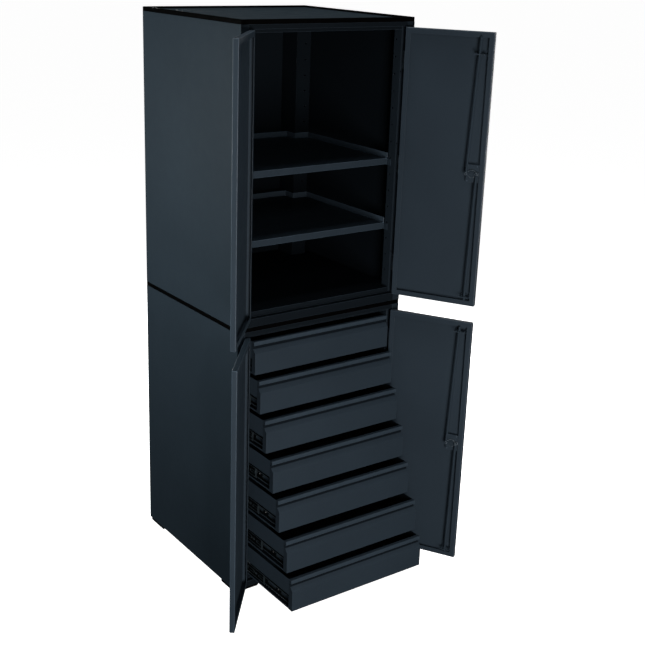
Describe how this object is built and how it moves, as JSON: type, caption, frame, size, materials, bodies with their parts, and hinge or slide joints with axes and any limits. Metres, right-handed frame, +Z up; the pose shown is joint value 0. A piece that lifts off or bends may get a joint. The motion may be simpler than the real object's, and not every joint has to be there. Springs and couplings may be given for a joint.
{
  "type": "tall workshop cabinet",
  "caption": "Tall steel workshop cabinet: a two-door cupboard with shelves stacked on a two-door unit of equal drawers.",
  "frame": {"origin": "on the floor, under the middle of the cabinet between its four feet", "axes": "+Z up; -Y is the front, where the doors and drawers open; +X to the right seen from the front"},
  "size_m": [0.9982, 0.9252, 1.995],
  "materials": {
    "door_paint": "fine-textured powder coat, satin",
    "drawer_front_paint": "fine-textured powder coat, satin",
    "drawer_tray_paint": "powder coat, satin",
    "foot_rubber": "matte",
    "frame_paint": "fine-textured powder coat, satin",
    "handle_black": "fine satin grain",
    "hinge_steel": "powder coat, satin",
    "lock_black": "black lacquer",
    "lock_zinc": "passivated zinc",
    "rail_zinc": "dark passivated zinc",
    "shelf_paint": "powder coat, satin",
    "tray_black": "grained black moulding",
    "zinc_hardware": "bright zinc plate"
  },
  "bodies": {
    "cabinet": {"upper_left_side": "frame_paint", "upper_right_side": "frame_paint", "upper_back_panel": "frame_paint", "upper_floor_pan": "frame_paint", "upper_front_posts": "frame_paint", "upper_rear_posts": "frame_paint", "upper_cross_rails": "frame_paint", "upper_top_tray": "tray_black", "low_shelf_tray": "shelf_paint", "high_shelf_tray": "shelf_paint", "shelf_clips": "zinc_hardware", "lower_left_side": "frame_paint", "lower_right_side": "frame_paint", "lower_back_panel": "frame_paint", "lower_floor_pan": "frame_paint", "lower_front_posts": "frame_paint", "lower_rear_posts": "frame_paint", "lower_cross_rails": "frame_paint", "lower_top_tray": "tray_black", "slide_carriers": "frame_paint", "slide_outer_rails": "rail_zinc", "frame_hinges": "hinge_steel", "stacking_bolts": "zinc_hardware", "feet": "foot_rubber", "foot_bolts": "zinc_hardware"},
    "upper_left_leaf": {"upper_left_door": "door_paint"},
    "upper_right_leaf": {"upper_right_door": "door_paint", "upper_lock_case": "lock_black"},
    "lower_left_leaf": {"lower_left_door": "door_paint"},
    "lower_right_leaf": {"lower_right_door": "door_paint", "lower_lock_case": "lock_black"},
    "upper_lock_turn": {"upper_lock_handle": "handle_black", "upper_lock_cam": "lock_zinc"},
    "lower_lock_turn": {"lower_lock_handle": "handle_black", "lower_lock_cam": "lock_zinc"},
    "upper_rod_up_body": {"upper_rod_up": "lock_zinc"},
    "upper_rod_down_body": {"upper_rod_down": "lock_zinc"},
    "lower_rod_up_body": {"lower_rod_up": "lock_zinc"},
    "lower_rod_down_body": {"lower_rod_down": "lock_zinc"},
    "drawer_1": {"drawer_1_front": "drawer_front_paint", "drawer_1_tray": "drawer_tray_paint"},
    "drawer_1_middle": {"drawer_1_mid_rails": "rail_zinc"},
    "drawer_2": {"drawer_2_front": "drawer_front_paint", "drawer_2_tray": "drawer_tray_paint"},
    "drawer_2_middle": {"drawer_2_mid_rails": "rail_zinc"},
    "drawer_3": {"drawer_3_front": "drawer_front_paint", "drawer_3_tray": "drawer_tray_paint"},
    "drawer_3_middle": {"drawer_3_mid_rails": "rail_zinc"},
    "drawer_4": {"drawer_4_front": "drawer_front_paint", "drawer_4_tray": "drawer_tray_paint"},
    "drawer_4_middle": {"drawer_4_mid_rails": "rail_zinc"},
    "drawer_5": {"drawer_5_front": "drawer_front_paint", "drawer_5_tray": "drawer_tray_paint"},
    "drawer_5_middle": {"drawer_5_mid_rails": "rail_zinc"},
    "drawer_6": {"drawer_6_front": "drawer_front_paint", "drawer_6_tray": "drawer_tray_paint"},
    "drawer_6_middle": {"drawer_6_mid_rails": "rail_zinc"},
    "drawer_7": {"drawer_7_front": "drawer_front_paint", "drawer_7_tray": "drawer_tray_paint"},
    "drawer_7_middle": {"drawer_7_mid_rails": "rail_zinc"}
  },
  "joints": [
    {"name": "upper_left_door_hinge", "type": "hinge", "parent": "cabinet", "child": "upper_left_leaf", "pos_m": [-0.31175, -0.3225, 1.49675], "axis": [0, 0, -1], "range_deg": [-131, 24]},
    {"name": "upper_right_door_hinge", "type": "hinge", "parent": "cabinet", "child": "upper_right_leaf", "pos_m": [0.31175, -0.3225, 1.49675], "axis": [0, 0, 1], "range_deg": [-120, 35]},
    {"name": "lower_left_door_hinge", "type": "hinge", "parent": "cabinet", "child": "lower_left_leaf", "pos_m": [-0.31175, -0.3225, 0.50225], "axis": [0, 0, -1], "range_deg": [-35, 25]},
    {"name": "lower_right_door_hinge", "type": "hinge", "parent": "cabinet", "child": "lower_right_leaf", "pos_m": [0.31175, -0.3225, 0.50225], "axis": [0, 0, 1], "range_deg": [-25, 35]},
    {"name": "upper_lock_turn", "type": "hinge", "parent": "upper_right_leaf", "child": "upper_lock_turn", "pos_m": [0.44588, -0.55481, 1.49675], "axis": [0.866, 0.5, 0], "range_deg": [0, 90]},
    {"name": "upper_rod_up_pin", "type": "hinge", "parent": "upper_lock_turn", "child": "upper_rod_up_body", "pos_m": [0.41349, -0.55272, 1.49675], "axis": [0.866, 0.5, 0], "range_deg": [-92.5, 0]},
    {"name": "upper_rod_down_pin", "type": "hinge", "parent": "upper_lock_turn", "child": "upper_rod_down_body", "pos_m": [0.43149, -0.5839, 1.49675], "axis": [0.866, 0.5, 0], "range_deg": [-92.5, 0]},
    {"name": "lower_lock_turn", "type": "hinge", "parent": "lower_right_leaf", "child": "lower_lock_turn", "pos_m": [0.44588, -0.55481, 0.50225], "axis": [0.866, 0.5, 0], "range_deg": [0, 90]},
    {"name": "lower_rod_up_pin", "type": "hinge", "parent": "lower_lock_turn", "child": "lower_rod_up_body", "pos_m": [0.41349, -0.55272, 0.50225], "axis": [0.866, 0.5, 0], "range_deg": [-92.5, 0]},
    {"name": "lower_rod_down_pin", "type": "hinge", "parent": "lower_lock_turn", "child": "lower_rod_down_body", "pos_m": [0.43149, -0.5839, 0.50225], "axis": [0.866, 0.5, 0], "range_deg": [-92.5, 0]},
    {"name": "drawer_1_slide", "type": "slide", "parent": "cabinet", "child": "drawer_1", "axis": [0, -1, 0], "range_m": [-0.062, 0.388]},
    {"name": "drawer_1_middle_slide", "type": "slide", "parent": "cabinet", "child": "drawer_1_middle", "axis": [0, -1, 0], "range_m": [-0.031, 0.194]},
    {"name": "drawer_2_slide", "type": "slide", "parent": "cabinet", "child": "drawer_2", "axis": [0, -1, 0], "range_m": [-0.098, 0.352]},
    {"name": "drawer_2_middle_slide", "type": "slide", "parent": "cabinet", "child": "drawer_2_middle", "axis": [0, -1, 0], "range_m": [-0.049, 0.176]},
    {"name": "drawer_3_slide", "type": "slide", "parent": "cabinet", "child": "drawer_3", "axis": [0, -1, 0], "range_m": [-0.138, 0.312]},
    {"name": "drawer_3_middle_slide", "type": "slide", "parent": "cabinet", "child": "drawer_3_middle", "axis": [0, -1, 0], "range_m": [-0.069, 0.156]},
    {"name": "drawer_4_slide", "type": "slide", "parent": "cabinet", "child": "drawer_4", "axis": [0, -1, 0], "range_m": [-0.185, 0.265]},
    {"name": "drawer_4_middle_slide", "type": "slide", "parent": "cabinet", "child": "drawer_4_middle", "axis": [0, -1, 0], "range_m": [-0.0925, 0.1325]},
    {"name": "drawer_5_slide", "type": "slide", "parent": "cabinet", "child": "drawer_5", "axis": [0, -1, 0], "range_m": [-0.227, 0.223]},
    {"name": "drawer_5_middle_slide", "type": "slide", "parent": "cabinet", "child": "drawer_5_middle", "axis": [0, -1, 0], "range_m": [-0.1135, 0.1115]},
    {"name": "drawer_6_slide", "type": "slide", "parent": "cabinet", "child": "drawer_6", "axis": [0, -1, 0], "range_m": [-0.28, 0.17]},
    {"name": "drawer_6_middle_slide", "type": "slide", "parent": "cabinet", "child": "drawer_6_middle", "axis": [0, -1, 0], "range_m": [-0.14, 0.085]},
    {"name": "drawer_7_slide", "type": "slide", "parent": "cabinet", "child": "drawer_7", "axis": [0, -1, 0], "range_m": [-0.317, 0.133]},
    {"name": "drawer_7_middle_slide", "type": "slide", "parent": "cabinet", "child": "drawer_7_middle", "axis": [0, -1, 0], "range_m": [-0.1585, 0.0665]}
  ],
  "couplings": [
    {"joint": "upper_rod_up_pin", "follows": "upper_lock_turn", "ratio": -1.0267},
    {"joint": "upper_rod_down_pin", "follows": "upper_lock_turn", "ratio": -1.0267},
    {"joint": "lower_rod_up_pin", "follows": "lower_lock_turn", "ratio": -1.0267},
    {"joint": "lower_rod_down_pin", "follows": "lower_lock_turn", "ratio": -1.0267},
    {"joint": "drawer_1_middle_slide", "follows": "drawer_1_slide", "ratio": 0.5},
    {"joint": "drawer_2_middle_slide", "follows": "drawer_2_slide", "ratio": 0.5},
    {"joint": "drawer_3_middle_slide", "follows": "drawer_3_slide", "ratio": 0.5},
    {"joint": "drawer_4_middle_slide", "follows": "drawer_4_slide", "ratio": 0.5},
    {"joint": "drawer_5_middle_slide", "follows": "drawer_5_slide", "ratio": 0.5},
    {"joint": "drawer_6_middle_slide", "follows": "drawer_6_slide", "ratio": 0.5},
    {"joint": "drawer_7_middle_slide", "follows": "drawer_7_slide", "ratio": 0.5}
  ]
}
